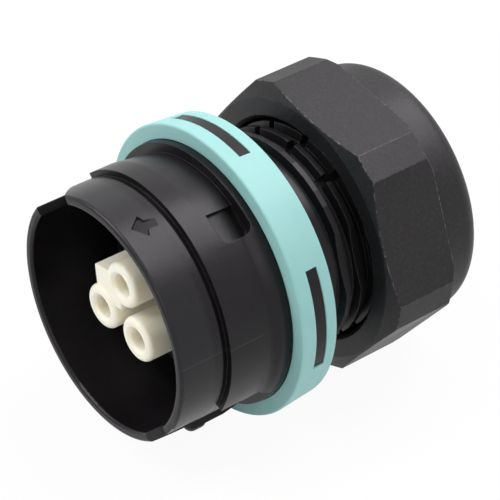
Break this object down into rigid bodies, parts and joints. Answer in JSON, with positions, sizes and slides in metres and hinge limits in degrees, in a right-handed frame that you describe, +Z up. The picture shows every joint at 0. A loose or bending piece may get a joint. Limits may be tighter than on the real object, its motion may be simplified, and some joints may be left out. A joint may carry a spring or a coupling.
{
  "type": "circular panel socket",
  "caption": "Round panel socket with an open bayonet sleeve, ivory contact towers, a soft teal flange ring, a threaded barrel and a hexagonal gland nut with a domed end.",
  "frame": {"origin": "on the socket's axis, in the plane of the flange ring's rear face, where it seats on the panel", "axes": "+Y along the axis from the mouth to the cable end, +Z up, +X to the right when looking along +Y"},
  "size_m": [0.0364, 0.0429, 0.036],
  "materials": {
    "black_polyamide": "fine satin as moulded",
    "teal_elastomer": "matte moulded elastomer",
    "ivory_polyamide": "satin moulded",
    "black_rubber": "matte",
    "spring_steel": "plain rolled",
    "turned_brass": "turned, nickel free",
    "zinc_steel": "bright zinc",
    "natural_polyamide": "satin moulded"
  },
  "bodies": {
    "socket": {"socket_shell": "black_polyamide", "flange_gasket": "teal_elastomer", "mating_seal": "black_rubber", "contact_insert": "ivory_polyamide", "insert_seal": "black_rubber", "retaining_clip": "spring_steel", "contact_line": "turned_brass", "contact_neutral": "turned_brass", "contact_earth": "turned_brass", "contact_springs": "spring_steel", "terminal_screws": "zinc_steel"},
    "gland_pack": {"cable_seal": "black_rubber", "clamp_cage": "natural_polyamide", "slip_washer": "natural_polyamide"},
    "nut": {"gland_nut": "black_polyamide"}
  },
  "joints": [
    {"name": "gland_slide", "type": "slide", "parent": "socket", "child": "gland_pack", "axis": [0, 1, 0], "range_m": [-0.0072, 0.0021]},
    {"name": "nut_spin", "type": "hinge", "parent": "gland_pack", "child": "nut", "pos_m": [0, 0.0117, 0], "axis": [0, 1, 0], "range_deg": [-1234, 359]}
  ],
  "couplings": [
    {"joint": "gland_slide", "follows": "nut_spin", "m_per_rad": 0.00033423}
  ]
}
